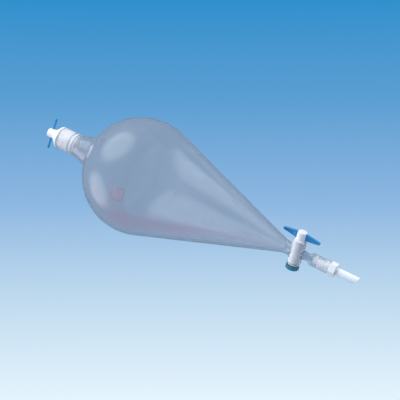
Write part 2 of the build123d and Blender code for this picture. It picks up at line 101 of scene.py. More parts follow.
X, Y, Z = range(3)
rim_z = high("glass_body", Z)
mouth_z = low("glass_body", Z)
bulb_z = rim_z - RIM_HEIGHT
stopcock_z = (low("stopcock_handle", Z) + high("stopcock_handle", Z)) / 2
seat_z = mouth_z + SOCKET_SEAT_RISE
barrel_end_x = -high("stopcock_washer", X) - 0.25


# ---------------------------------------------------------------- outlines
def arc(centre, radius, start, end, step=radians(2.0)):
    """Points on a circle from one angle to another, both in radians."""
    count = max(2, ceil(abs(end - start) / step))
    angles = [start + (end - start) * i / count for i in range(count + 1)]
    return [(centre[0] + radius * cos(a), centre[1] + radius * sin(a)) for a in angles]


def rounded(corners, closed=True, step=radians(15.0)):
    """An outline whose corners are (r, h) when sharp and (r, h, radius) when rounded."""
    points = []
    count = len(corners)
    for i, corner in enumerate(corners):
        here = Vector(corner[:2])
        if len(corner) == 2 or (not closed and i in (0, count - 1)):
            points.append(tuple(here))
            continue
        before = Vector(corners[i - 1][:2]) - here
        after = Vector(corners[(i + 1) % count][:2]) - here
        turn = pi - before.angle(after)
        run = corner[2] * tan(turn / 2)
        bisector = (before.normalized() + after.normalized()).normalized()
        centre = here + bisector * (run / sin(turn / 2))
        begin = here + before.normalized() * run - centre
        finish = here + after.normalized() * run - centre
        start = atan2(begin.y, begin.x)
        sweep = (atan2(finish.y, finish.x) - start + pi) % (2 * pi) - pi
        points += arc(centre, corner[2], start, start + sweep, step)
    return points


def densified(points, floor_h, top_h, step, closed=True):
    """The same outline with more points where it lies between two heights."""
    result = []
    for i, point in enumerate(points):
        result.append(point)
        if i == len(points) - 1 and not closed:
            break
        after = points[(i + 1) % len(points)]
        inside = min(point[1], after[1]) >= floor_h - 1e-6 and max(point[1], after[1]) <= top_h + 1e-6
        if inside:
            count = ceil(hypot(after[0] - point[0], after[1] - point[1]) / step)
            for k in range(1, count):
                share = k / count
                result.append(tuple(p + (q - p) * share for p, q in zip(point, after)))
    return result


# ---------------------------------------------------------------- meshes
def smooth(t):
    t = min(max(t, 0.0), 1.0)
    return t * t * (3 - 2 * t)


def screw(pitch, start, turns, rise, floor_r, ceiling_r):
    """Reshapes a surface of revolution with a rounded helical ridge on one of its walls."""

    def reshape(r, h, angle):
        if not floor_r <= r <= ceiling_r:
            return r, h
        turn = angle / (2 * pi)
        phase = (h - start) / pitch - turn
        along = round(phase) + turn
        gap = abs(phase - round(phase))
        ridge = 1 - smooth((gap - 0.10) / 0.20)
        ends = smooth(min(along, turns - along) / 0.3)
        return r + rise * ridge * ends, h

    return reshape


def unshaped(r, h, angle):
    return r, h


def finish_mesh(name, mesh_data, sharp=35.0):
    """Turns a bmesh in millimetres into an object in metres with smooth shading."""
    bmesh.ops.recalc_face_normals(mesh_data, faces=mesh_data.faces)
    bmesh.ops.scale(mesh_data, vec=(MM, MM, MM), verts=mesh_data.verts)
    mesh = bpy.data.meshes.new(name)
    mesh_data.to_mesh(mesh)
    mesh_data.free()
    mesh.shade_smooth()
    mesh.set_sharp_from_angle(angle=radians(sharp))
    piece = bpy.data.objects.new(name, mesh)
    bpy.context.scene.collection.objects.link(piece)
    return piece


def lathe(name, outline, reshape=unshaped, segments=96, along=Z, centre_z=0.0, hollow=False):
    """A surface of revolution about the funnel's axis, or about the stopcock's when along is X.

    outline goes round the section as (radius, height). A solid one starts and ends on the
    axis; a hollow one never touches it and is closed on itself.
    """
    mesh_data = bmesh.new()
    rings = []
    for r, h in outline:
        if r < 1e-6:
            place = (h, 0, centre_z) if along == X else (0, 0, h)
            rings.append([mesh_data.verts.new(place)])
            continue
        ring = []
        for i in range(segments):
            angle = 2 * pi * i / segments
            radius, height = reshape(r, h, angle)
            side, up = radius * cos(angle), radius * sin(angle)
            place = (height, side, centre_z + up) if along == X else (side, up, height)
            ring.append(mesh_data.verts.new(place))
        rings.append(ring)
    pairs = list(zip(rings, rings[1:]))
    if hollow:
        pairs.append((rings[-1], rings[0]))
    for first, second in pairs:
        for i in range(segments):
            j = (i + 1) % segments
            if len(first) == 1:
                mesh_data.faces.new((first[0], second[i], second[j]))
            elif len(second) == 1:
                mesh_data.faces.new((first[i], first[j], second[0]))
            else:
                mesh_data.faces.new((first[i], first[j], second[j], second[i]))
    return finish_mesh(name, mesh_data)


def combine(piece, tool, operation, sharp=35.0):
    """Joins or cuts a piece with a tool, which is then gone."""
    modifier = piece.modifiers.new("combine", "BOOLEAN")
    modifier.object = tool
    modifier.operation = operation
    modifier.solver = "EXACT"
    bpy.context.view_layer.update()
    mesh = bpy.data.meshes.new_from_object(piece.evaluated_get(bpy.context.evaluated_depsgraph_get()))
    piece.modifiers.clear()
    piece.data = mesh
    mesh.shade_smooth()
    mesh.set_sharp_from_angle(angle=radians(sharp))
    bpy.data.objects.remove(tool)


# ---------------------------------------------------------------- materials
def new_material(name):
    material = bpy.data.materials.new(name)
    material.use_nodes = True
    nodes = material.node_tree.nodes
    shader = nodes["Principled BSDF"]
    return SimpleNamespace(
        material=material, nodes=nodes, links=material.node_tree.links, shader=shader
    )


def object_noise(kit, scale, detail=3.0, stretch=(1, 1, 1)):
    """Noise laid out in the object's own space, so that it stays put when the piece moves."""
    place = kit.nodes.new("ShaderNodeTexCoord")
    mapping = kit.nodes.new("ShaderNodeMapping")
    mapping.inputs["Scale"].default_value = stretch
    noise = kit.nodes.new("ShaderNodeTexNoise")
    noise.inputs["Scale"].default_value = scale
    noise.inputs["Detail"].default_value = detail
    kit.links.new(place.outputs["Object"], mapping.inputs["Vector"])
    kit.links.new(mapping.outputs["Vector"], noise.inputs["Vector"])
    return noise


def colour_from(kit, source, first, second, low_at=0.35, high_at=0.65):
    ramp = kit.nodes.new("ShaderNodeValToRGB")
    ramp.color_ramp.elements[0].position = low_at
    ramp.color_ramp.elements[1].position = high_at
    ramp.color_ramp.elements[0].color = (*first, 1)
    ramp.color_ramp.elements[1].color = (*second, 1)
    kit.links.new(source.outputs["Fac"], ramp.inputs["Fac"])
    kit.links.new(ramp.outputs["Color"], kit.shader.inputs["Base Color"])


def roughness_from(kit, source, least, most):
    spread = kit.nodes.new("ShaderNodeMapRange")
    spread.inputs["To Min"].default_value = least
    spread.inputs["To Max"].default_value = most
    kit.links.new(source.outputs["Fac"], spread.inputs["Value"])
    kit.links.new(spread.outputs["Result"], kit.shader.inputs["Roughness"])


def bump_from(kit, source, strength, distance):
    bump = kit.nodes.new("ShaderNodeBump")
    bump.inputs["Strength"].default_value = strength
    bump.inputs["Distance"].default_value = distance
    kit.links.new(source.outputs["Fac"], bump.inputs["Height"])
    kit.links.new(bump.outputs["Normal"], kit.shader.inputs["Normal"])


THIN_TUBE_CLEARNESS = 0.62     # share of the light that passes the thin tube unbent


def glass_material():
    """Clear borosilicate with the faint grey-blue body and slow waviness of blown glass."""
    kit = new_material("borosilicate_glass")
    kit.shader.inputs["IOR"].default_value = 1.473
    kit.shader.inputs["Transmission Weight"].default_value = 0.97
    tint = object_noise(kit, 9.0, 2.0)
    colour_from(kit, tint, (0.90, 0.925, 0.96), (0.925, 0.945, 0.97))
    roughness_from(kit, tint, 0.015, 0.05)
    wave = object_noise(kit, 22.0, 1.0, (1, 1, 0.35))
    bump_from(kit, wave, 0.12, 0.0012)
    clear = kit.nodes.new("ShaderNodeBsdfTransparent")
    clear.inputs["Color"].default_value = (0.90, 0.91, 0.93, 1)
    thin = kit.nodes.new("ShaderNodeMapRange")
    thin.inputs["From Min"].default_value = stopcock_z / 1000 - 0.007
    thin.inputs["From Max"].default_value = stopcock_z / 1000 - 0.012
    thin.inputs["To Max"].default_value = THIN_TUBE_CLEARNESS
    split = kit.nodes.new("ShaderNodeSeparateXYZ")
    place = kit.nodes.new("ShaderNodeTexCoord")
    kit.links.new(place.outputs["Object"], split.inputs["Vector"])
    kit.links.new(split.outputs["Z"], thin.inputs["Value"])
    body = kit.nodes.new("ShaderNodeMixShader")
    kit.links.new(thin.outputs["Result"], body.inputs["Fac"])
    kit.links.new(kit.shader.outputs["BSDF"], body.inputs[1])
    kit.links.new(clear.outputs["BSDF"], body.inputs[2])
    path = kit.nodes.new("ShaderNodeLightPath")
    mix = kit.nodes.new("ShaderNodeMixShader")
    kit.links.new(path.outputs["Is Shadow Ray"], mix.inputs["Fac"])
    kit.links.new(body.outputs["Shader"], mix.inputs[1])
    kit.links.new(clear.outputs["BSDF"], mix.inputs[2])
    kit.links.new(mix.outputs["Shader"], kit.nodes["Material Output"].inputs["Surface"])
    return kit.material


def plastic_material(name, first, second, rough, grain=900.0, bump=0.05, **shader_values):
    """Moulded or turned plastic: a slow drift of colour, a fine grain and a little bump."""
    kit = new_material(name)
    drift = object_noise(kit, 60.0, 4.0)
    colour_from(kit, drift, first, second)
    fine = object_noise(kit, grain, 3.0)
    roughness_from(kit, fine, rough * 0.8, rough * 1.2)
    bump_from(kit, fine, bump, 0.0002)
    for socket, value in shader_values.items():
        kit.shader.inputs[socket.replace("_", " ")].default_value = value
    return kit.material


glass = glass_material()
ptfe = plastic_material(
    "white_ptfe", (0.80, 0.775, 0.80), (0.85, 0.83, 0.85), 0.42,
    Subsurface_Weight=0.25, Subsurface_Scale=0.003,
)
blue = plastic_material("blue_plastic", (0.022, 0.20, 0.43), (0.032, 0.245, 0.50), 0.28)
teal = plastic_material("teal_plastic", (0.022, 0.17, 0.27), (0.034, 0.21, 0.32), 0.35)
nylon = plastic_material(
    "natural_nylon", (0.80, 0.80, 0.80), (0.88, 0.87, 0.86), 0.38,
    Subsurface_Weight=0.35, Subsurface_Scale=0.002, IOR=1.53,
)
# A lighter, glossier copy of the white PTFE for the drip tube: its extra lightness is painted
# highlight, while its lower roughness is real gloss.
painted_highlight_ptfe = plastic_material(
    "painted_highlight_ptfe", (0.86, 0.87, 0.90), (0.92, 0.92, 0.94), 0.24,
    Subsurface_Weight=0.2, Subsurface_Scale=0.002,
)
clear_seal = plastic_material(
    "clear_seal", (0.82, 0.84, 0.87), (0.90, 0.91, 0.93), 0.22, Transmission_Weight=0.3,
)
black_seal = plastic_material("black_seal", (0.012, 0.012, 0.014), (0.022, 0.022, 0.025), 0.55)
enamel = plastic_material("red_enamel", (0.62, 0.20, 0.24), (0.70, 0.26, 0.29), 0.5, bump=0.2)


def dress(piece, material, body, slot, *replaced):
    """Gives a piece its material and body, and hides the CAD nodes it stands in for."""
    piece.data.materials.clear()
    piece.data.materials.append(material)
    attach(piece, body)
    if replaced:
        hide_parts(*replaced)
    return piece


# ---------------------------------------------------------------- glass vessel
def flare(inset, neck_radius):
    """From the neck's straight bore down its flare to the bulb, then the bulb's sphere."""
    sine, cosine = sin(NECK_FLARE_ANGLE), cos(NECK_FLARE_ANGLE)
    reach = BULB_RADIUS + NECK_FOOT_RADIUS
    above_r = NECK_RADIUS + NECK_FOOT_RADIUS * cosine
    above_h = NECK_FLARE_TOP + NECK_FOOT_RADIUS * sine
    nearest = above_h * cosine - above_r * sine
    down = nearest - sqrt(nearest**2 - above_r**2 - above_h**2 + reach**2)
    centre = (above_r + down * sine, bulb_z + above_h - down * cosine)
    meeting = atan2(centre[1] - bulb_z, centre[0])
    run = (neck_radius - NECK_RADIUS + inset * cosine) / sine
    start = (neck_radius, bulb_z + NECK_FLARE_TOP - inset * sine - run * cosine)
    bend = arc(centre, NECK_FOOT_RADIUS + inset, pi + NECK_FLARE_ANGLE, pi + meeting)
    corner = rounded([(neck_radius, start[1] + 6), (*start, 12.0), bend[0]], closed=False,
                     step=radians(3.0))
    sphere = arc((0, bulb_z), BULB_RADIUS - inset, meeting, -CONE_HALF_ANGLE)
    return corner[1:-1] + bend + sphere[1:]


def cone_foot(throat_radius, sphere_radius, blend_radius):
    """The arc that turns the cone into a straight throat, from its upper end down."""
    corner_z = bulb_z - sphere_radius / sin(CONE_HALF_ANGLE) + throat_radius / tan(CONE_HALF_ANGLE)
    centre = (throat_radius + blend_radius, corner_z - blend_radius * tan(CONE_HALF_ANGLE / 2))
    return arc(centre, blend_radius, pi - CONE_HALF_ANGLE, pi)


thread_foot = low("stopper_plug", Z) + NECK_THREAD_FOOT_RISE
neck_screw = screw(NECK_PITCH, thread_foot + 2.4, 3.5, -NECK_THREAD_HEIGHT, NECK_THREAD_ROOT - 0.1,
                   NECK_THREAD_ROOT + 0.1)
socket_screw = screw(SOCKET_PITCH, mouth_z + 2.6, 4.25, -SOCKET_THREAD_HEIGHT, SOCKET_THREAD_ROOT - 0.1,
                     SOCKET_THREAD_ROOT + 0.1)


def weld_to_barrel(r, h, angle):
    """Widens the throat and the side tube into a fillet where they meet the barrel."""
    rise = abs(h - stopcock_z)
    across = r * sin(angle)
    if r > THROAT_RADIUS + 0.01 or rise > BARREL_RADIUS + WELD_RADIUS:
        return r, h
    gap = rise - sqrt(BARREL_RADIUS**2 - across**2)
    if gap >= WELD_RADIUS:
        return r, h
    run = WELD_RADIUS - max(gap, 0.0)
    return r + (WELD_RADIUS - sqrt(WELD_RADIUS**2 - run**2)) * cos(angle) ** 2, h


def build_glass():
    rim_edge = 0.9
    outer = [(0, rim_z)]
    outer += rounded(
        [(0, rim_z), (NECK_RADIUS, rim_z, rim_edge), (NECK_RADIUS, rim_z - 10)], closed=False
    )[1:]
    outer += flare(0, NECK_RADIUS)
    outer += cone_foot(THROAT_RADIUS, BULB_RADIUS, THROAT_BLEND)
    outer += rounded([
        (THROAT_RADIUS, stopcock_z + 2),
        (SIDE_TUBE_RADIUS, stopcock_z - 2),
        (SIDE_TUBE_RADIUS, mouth_z + SOCKET_SHOULDER_RISE + SOCKET_SHOULDER, 3.0),
        (SOCKET_RADIUS, mouth_z + SOCKET_SHOULDER_RISE, 3.0),
        (SOCKET_RADIUS, mouth_z, 0.5),
        (0, mouth_z),
    ], closed=False, step=radians(5.0))
    outer = densified(outer, stopcock_z - 16, stopcock_z + 16, 0.5, closed=False)
    vessel = lathe("glass_vessel", outer, weld_to_barrel, segments=160)
    barrel = lathe("barrel_tool", rounded([
        (0, -barrel_end_x), (BARREL_RADIUS, -barrel_end_x, 0.9),
        (BARREL_RADIUS, barrel_end_x, 0.9), (0, barrel_end_x),
    ], closed=False), segments=96, along=X, centre_z=stopcock_z)
    combine(vessel, barrel, "UNION")

    inner_bulb = BULB_RADIUS - WALL
    inner = [(0, rim_z + 2)]
    inner += rounded([
        (0, rim_z + 2),
        (NECK_THREAD_ROOT + 1.6, rim_z + 2),
        (NECK_THREAD_ROOT + 1.6, rim_z + 0.8),
        (NECK_THREAD_ROOT, rim_z - 0.8, 0.8),
        (NECK_THREAD_ROOT, thread_foot, 0.8),
        (NECK_BORE_RADIUS, thread_foot - 1.2, 0.8),
        (NECK_BORE_RADIUS, thread_foot - 4),
    ], closed=False)[1:]
    inner += flare(WALL, NECK_BORE_RADIUS)
    inner += cone_foot(PORT_RADIUS, inner_bulb, PORT_BLEND)
    inner += rounded([
        (PORT_RADIUS, stopcock_z),
        (PORT_RADIUS, seat_z, 0.5),
        (CHAMBER_RADIUS - SOCKET_SEAT_TAPER, seat_z, 0.4),
        (CHAMBER_RADIUS, seat_z - SOCKET_SEAT_TAPER, 0.4),
        (CHAMBER_RADIUS, mouth_z + SOCKET_THREAD_RISE, 0.5),
        (SOCKET_THREAD_ROOT, mouth_z + SOCKET_THREAD_RISE - 1.0, 0.5),
        (SOCKET_THREAD_ROOT, mouth_z + 0.6, 0.5),
        (SOCKET_THREAD_ROOT + 0.8, mouth_z - 1.0),
        (0, mouth_z - 1.0),
    ], closed=False)
    inner = densified(inner, thread_foot + 0.9, rim_z - 1.7, 0.25, closed=False)
    inner = densified(
        inner, mouth_z + 1.1, mouth_z + SOCKET_THREAD_RISE - 1.4, 0.2, closed=False
    )

    def both_screws(r, h, angle):
        return neck_screw(*socket_screw(r, h, angle), angle)

    cavity = lathe("cavity_tool", inner, both_screws, segments=160)
    combine(vessel, cavity, "DIFFERENCE")

    reach = barrel_end_x + 1
    small_r = TAPER_RADIUS_MID - reach * TAPER / 2
    large_r = TAPER_RADIUS_MID + reach * TAPER / 2
    taper = lathe("taper_tool", [(0, -reach), (small_r, -reach), (large_r, reach), (0, reach)],
                  segments=96, along=X, centre_z=stopcock_z)
    combine(vessel, taper, "DIFFERENCE")
    dress(vessel, glass, "root", "borosilicate_glass", "glass_body")


# ---------------------------------------------------------------- stopper
STOPPER_HEAD_RADIUS = 6.45
STOPPER_FLANGE_RADIUS = 15.3
STOPPER_ROD_RADIUS = 1.6
STOPPER_ROD_HALF = 22.0
STOPPER_ROD_TURN = radians(10.7)
STOPPER_RING_SECTION = 1.2
STOPPER_RING_OUTER = 11.9
STOPPER_SEAT_GAP = 0.2
STOPPER_FLANGE_HEIGHT = 3.0
STOPPER_CONE_HEIGHT = 8.2
STOPPER_GROOVE_RADIUS = 9.4
STOPPER_GROOVE_HALF = 1.25
STOPPER_GROOVE_LIFT = 1.1
STOPPER_DISH_RADIUS = 6.5
STOPPER_DISH_DEPTH = 2.5


def torus_outline(centre_r, centre_h, section):
    return arc((centre_r, centre_h), section, 0, 2 * pi, radians(20.0))[:-1]


def turned_rod(name, radius, half_length, edge, centre_z, turn):
    """A round rod lying across the funnel's axis, turned about it."""
    rod = lathe(name, rounded([
        (0, -half_length), (radius, -half_length, edge), (radius, half_length, edge),
        (0, half_length),
    ], closed=False), segments=32, along=X, centre_z=centre_z)
    rod.data.transform(Matrix.Rotation(turn, 4, "Z"))
    return rod


def build_stopper():
    tip_z = low("stopper_plug", Z)
    top_z = high("stopper_plug", Z)
    seat = rim_z + STOPPER_SEAT_GAP
    shoulder_z = seat + STOPPER_FLANGE_HEIGHT
    head_z = shoulder_z + STOPPER_CONE_HEIGHT
    ring_z = tip_z + STOPPER_GROOVE_LIFT + STOPPER_RING_SECTION
    groove_top, groove_foot = ring_z + STOPPER_GROOVE_HALF, ring_z - STOPPER_GROOVE_HALF
    rod_z = (head_z + top_z) / 2
    outline = rounded([
        (0, top_z),
        (STOPPER_HEAD_RADIUS, top_z, 1.0),
        (STOPPER_HEAD_RADIUS, head_z, 1.0),
        (STOPPER_FLANGE_RADIUS - 0.6, shoulder_z, 0.8),
        (STOPPER_FLANGE_RADIUS, shoulder_z - 0.7, 0.6),
        (STOPPER_FLANGE_RADIUS, seat, 0.3),
        (NECK_THREAD_ROOT + 0.9, seat, 0.2),
        (NECK_THREAD_ROOT + CONTACT, seat - 1.2, 0.4),
        (NECK_THREAD_ROOT + CONTACT, thread_foot + 0.4, 0.6),
        (NECK_BORE_RADIUS + CONTACT, thread_foot - 0.9, 0.4),
        (NECK_BORE_RADIUS + CONTACT, groove_top, 0.1),
        (STOPPER_GROOVE_RADIUS, groove_top, 0.2),
        (STOPPER_GROOVE_RADIUS, groove_foot, 0.2),
        (NECK_BORE_RADIUS + CONTACT, groove_foot, 0.1),
        (NECK_BORE_RADIUS + CONTACT, tip_z, 0.4),
        (STOPPER_DISH_RADIUS, tip_z, 0.5),
        (STOPPER_DISH_RADIUS, tip_z + STOPPER_DISH_DEPTH, 0.8),
        (0, tip_z + STOPPER_DISH_DEPTH),
    ], closed=False)
    outline = densified(outline, thread_foot + 0.9, seat - 1.5, 0.25, closed=False)
    plug = lathe("stopper_turned_plug", outline, neck_screw, segments=160)
    hole = turned_rod("hole_tool", STOPPER_ROD_RADIUS + 0.05, 8.0, 0.1, rod_z, STOPPER_ROD_TURN)
    combine(plug, hole, "DIFFERENCE")
    dress(plug, ptfe, "stopper", "white_ptfe", "stopper_plug")

    rod = turned_rod("stopper_grip_rod", STOPPER_ROD_RADIUS, STOPPER_ROD_HALF, 0.8, rod_z,
                     STOPPER_ROD_TURN)
    dress(rod, blue, "stopper", "blue_plastic", "stopper_rod")

    ring = lathe("stopper_seal", torus_outline(
        STOPPER_RING_OUTER - STOPPER_RING_SECTION, ring_z, STOPPER_RING_SECTION
    ), segments=96, hollow=True)
    dress(ring, clear_seal, "stopper_lift", "clear_seal", "stopper_o_ring")


# ---------------------------------------------------------------- stopcock
PLUG_HEAD_RADIUS = 6.3
PLUG_SHOULDER_RADIUS = 8.2
PLUG_BORE_RADIUS = 2.3
HANDLE_ROOT_HALF = 4.6
HANDLE_TIP_HALF = 1.5
HANDLE_HALF_THICKNESS = 1.8
HANDLE_HALF_SPAN = 26.5
HANDLE_RIM = 1.1
HANDLE_RECESS = 0.9
HANDLE_ROUNDING = 1.3
WASHER_RADIUS = 7.8
WASHER_BORE_RADIUS = 4.65
NUT_RING_RADIUS = 5.55          # to the middle of its section
NUT_RING_SECTION = 0.8
NUT_RADIUS = 9.0
NUT_FLUTES = 12
NUT_FLUTE_RADIUS = 1.3


def bore_radius(x):
    return TAPER_RADIUS_MID + x * TAPER / 2


def handle_section(half_width, half_thickness, recess):
    """One I-shaped section of the blade, as (x, y) from its middle, going once round."""
    edge = 0.35
    web = half_width - HANDLE_RIM
    lower = [
        (-half_width, -half_thickness + edge), (-half_width + edge, -half_thickness),
        (-web - 0.15, -half_thickness), (-web + 0.15, -half_thickness + recess),
        (web - 0.15, -half_thickness + recess), (web + 0.15, -half_thickness),
        (half_width - edge, -half_thickness), (half_width, -half_thickness + edge),
    ]
    return lower + [(-x, -y) for x, y in lower]


def build_handle():
    """The blade through the plug's head, with a raised rim round the web of each arm."""
    middle_x = (low("stopcock_handle", X) + high("stopcock_handle", X)) / 2
    ends = [0, 0.15, 0.4, 0.8, 1.3, 2.0, 2.3, 2.6]
    arm = [HANDLE_HALF_SPAN - e for e in ends] + [18.0, 13.0, 9.2, 8.7, 8.1, 7.0]
    mesh_data = bmesh.new()
    rings = []
    for h in [-a for a in arm] + [-3.0, 3.0] + arm[::-1]:
        out = max(abs(h) - PLUG_HEAD_RADIUS, 0) / (HANDLE_HALF_SPAN - PLUG_HEAD_RADIUS)
        to_tip = HANDLE_HALF_SPAN - abs(h)
        short = max(HANDLE_ROUNDING - to_tip, 0)
        half_width = HANDLE_ROOT_HALF + (HANDLE_TIP_HALF - HANDLE_ROOT_HALF) * out
        half_width -= HANDLE_ROUNDING - sqrt(HANDLE_ROUNDING**2 - short**2) if short else 0
        half_width = max(half_width, 0.38)
        half_thickness = HANDLE_HALF_THICKNESS - 0.4 * max(0.4 - to_tip, 0) / 0.4
        recess = HANDLE_RECESS * smooth((abs(h) - 8.1) / 0.9) * smooth((to_tip - 2.0) / 0.6)
        web_is_open = half_width > HANDLE_RIM + 0.2
        section = handle_section(
            half_width if web_is_open else max(half_width, HANDLE_RIM + 0.2),
            half_thickness, recess,
        )
        squeeze = 1 if web_is_open else half_width / (HANDLE_RIM + 0.2)
        rings.append([
            mesh_data.verts.new((middle_x + x * squeeze, y, stopcock_z + h)) for x, y in section
        ])
    for first, second in zip(rings, rings[1:]):
        for i in range(len(first)):
            j = (i + 1) % len(first)
            mesh_data.faces.new((first[i], first[j], second[j], second[i]))
    for ring in (rings[0], rings[-1]):
        mesh_data.faces.new(ring)
    blade = finish_mesh("stopcock_blade", mesh_data, sharp=30.0)
    dress(blade, blue, "stopcock", "blue_plastic", "stopcock_handle")


def fluted(r, h, angle):
    """The nut's shallow grip flutes, on its outer wall alone."""
    pitch = 2 * pi / NUT_FLUTES
    off = abs((angle + pitch / 2) % pitch - pitch / 2) * NUT_RADIUS
    if r < NUT_RADIUS - 1.2 or off >= NUT_FLUTE_RADIUS:
        return r, h
    depth = sqrt(NUT_FLUTE_RADIUS**2 - off**2) - NUT_FLUTE_RADIUS / 2
    return r - max(depth, 0) * smooth((r - NUT_RADIUS + 1.2) / 1.2), h


def build_stopcock():
    top_x = high("stopcock_plug", X)
    tail_x = low("stopcock_plug", X)
    shoulder_x = barrel_end_x + 0.3
    head_x = shoulder_x + 1.6
    small_x = -barrel_end_x + 1.0
    outline = rounded([
        (0, top_x),
        (PLUG_HEAD_RADIUS, top_x, 1.3),
        (PLUG_HEAD_RADIUS, head_x, 0.5),
        (PLUG_SHOULDER_RADIUS, head_x, 0.5),
        (PLUG_SHOULDER_RADIUS, shoulder_x, 0.3),
        (bore_radius(shoulder_x) + CONTACT, shoulder_x, 0.1),
        (bore_radius(small_x) + CONTACT, small_x, 0.4),
        (TAIL_THREAD_ROOT, small_x, 0.3),
        (TAIL_THREAD_ROOT, tail_x, 0.7),
        (0, tail_x),
    ], closed=False)
    outline = densified(outline, tail_x + 0.7, small_x - 0.4, 0.2, closed=False)
    tail_screw = screw(NUT_PITCH, tail_x + 1.0, 3.5, NUT_THREAD_HEIGHT, TAIL_THREAD_ROOT - 0.01,
                       TAIL_THREAD_ROOT + 0.01)
    plug = lathe("stopcock_turned_plug", outline, tail_screw, segments=96, along=X,
                 centre_z=stopcock_z)
    bore = lathe("bore_tool", [
        (0, stopcock_z - 12), (PLUG_BORE_RADIUS, stopcock_z - 12),
        (PLUG_BORE_RADIUS, stopcock_z + 12), (0, stopcock_z + 12),
    ], segments=48)
    combine(plug, bore, "DIFFERENCE")
    mesh_data = bmesh.new()
    bmesh.ops.create_cube(mesh_data, size=1.0)
    slot_size = (2 * HANDLE_ROOT_HALF + 0.1, 2 * HANDLE_HALF_THICKNESS + 0.1, 30.0)
    bmesh.ops.scale(mesh_data, vec=slot_size, verts=mesh_data.verts)
    middle_x = (low("stopcock_handle", X) + high("stopcock_handle", X)) / 2
    bmesh.ops.translate(mesh_data, vec=(middle_x, 0, stopcock_z), verts=mesh_data.verts)
    combine(plug, finish_mesh("slot_tool", mesh_data), "DIFFERENCE")
    build_handle()
    dress(plug, ptfe, "stopcock", "white_ptfe", "stopcock_plug")

    low_x, high_x = low("stopcock_washer", X), high("stopcock_washer", X)
    washer = lathe("stopcock_flat_washer", rounded([
        (WASHER_BORE_RADIUS, high_x, 0.2), (WASHER_RADIUS, high_x, 0.25),
        (WASHER_RADIUS, low_x, 0.25), (WASHER_BORE_RADIUS, low_x, 0.2),
    ]), segments=96, along=X, centre_z=stopcock_z, hollow=True)
    dress(washer, ptfe, "nut_stack", "white_ptfe", "stopcock_washer")

    ring_x = (low("stopcock_o_ring", X) + high("stopcock_o_ring", X)) / 2
    ring = lathe("stopcock_seal", torus_outline(NUT_RING_RADIUS, ring_x, NUT_RING_SECTION),
                 segments=96, along=X, centre_z=stopcock_z, hollow=True)
    dress(ring, black_seal, "nut_stack", "black_seal", "stopcock_o_ring")

    low_x, high_x = low("stopcock_nut", X), high("stopcock_nut", X)
    nut_screw = screw(NUT_PITCH, tail_x + 2.0, 1.5, -NUT_THREAD_HEIGHT, NUT_THREAD_ROOT - 0.01,
                      NUT_THREAD_ROOT + 0.01)

    def nut_shape(r, h, angle):
        return fluted(*nut_screw(r, h, angle), angle)

    outline = densified(rounded([
        (NUT_THREAD_ROOT, high_x, 0.3), (NUT_RADIUS, high_x, 0.9),
        (NUT_RADIUS, low_x, 0.9), (NUT_THREAD_ROOT, low_x, 0.3),
    ]), low_x + 0.3, high_x - 0.3, 0.2)
    nut = lathe("stopcock_fluted_nut", outline, nut_shape, segments=240, along=X,
                centre_z=stopcock_z, hollow=True)
    dress(nut, teal, "nut", "teal_plastic", "stopcock_nut")


# ---------------------------------------------------------------- stem and its socket parts
HEX_HALF_FLATS = 8.2
HEX_CHAMFER = 1.0
BUSHING_BORE_RADIUS = 5.12
FERRULE_BORE_RADIUS = 5.08
STEM_RING_RADIUS = 5.69         # to the middle of its section
STEM_RING_SECTION = 0.62
STEM_SLANT_REACH = 12.0         # how far up the tube the slant cut bends the mesh


def hexagonal(r, h, angle):
    if r < HEX_HALF_FLATS - 0.5:
        return r, h
    return min(r, HEX_HALF_FLATS / cos((angle + pi / 6) % (pi / 3) - pi / 6)), h


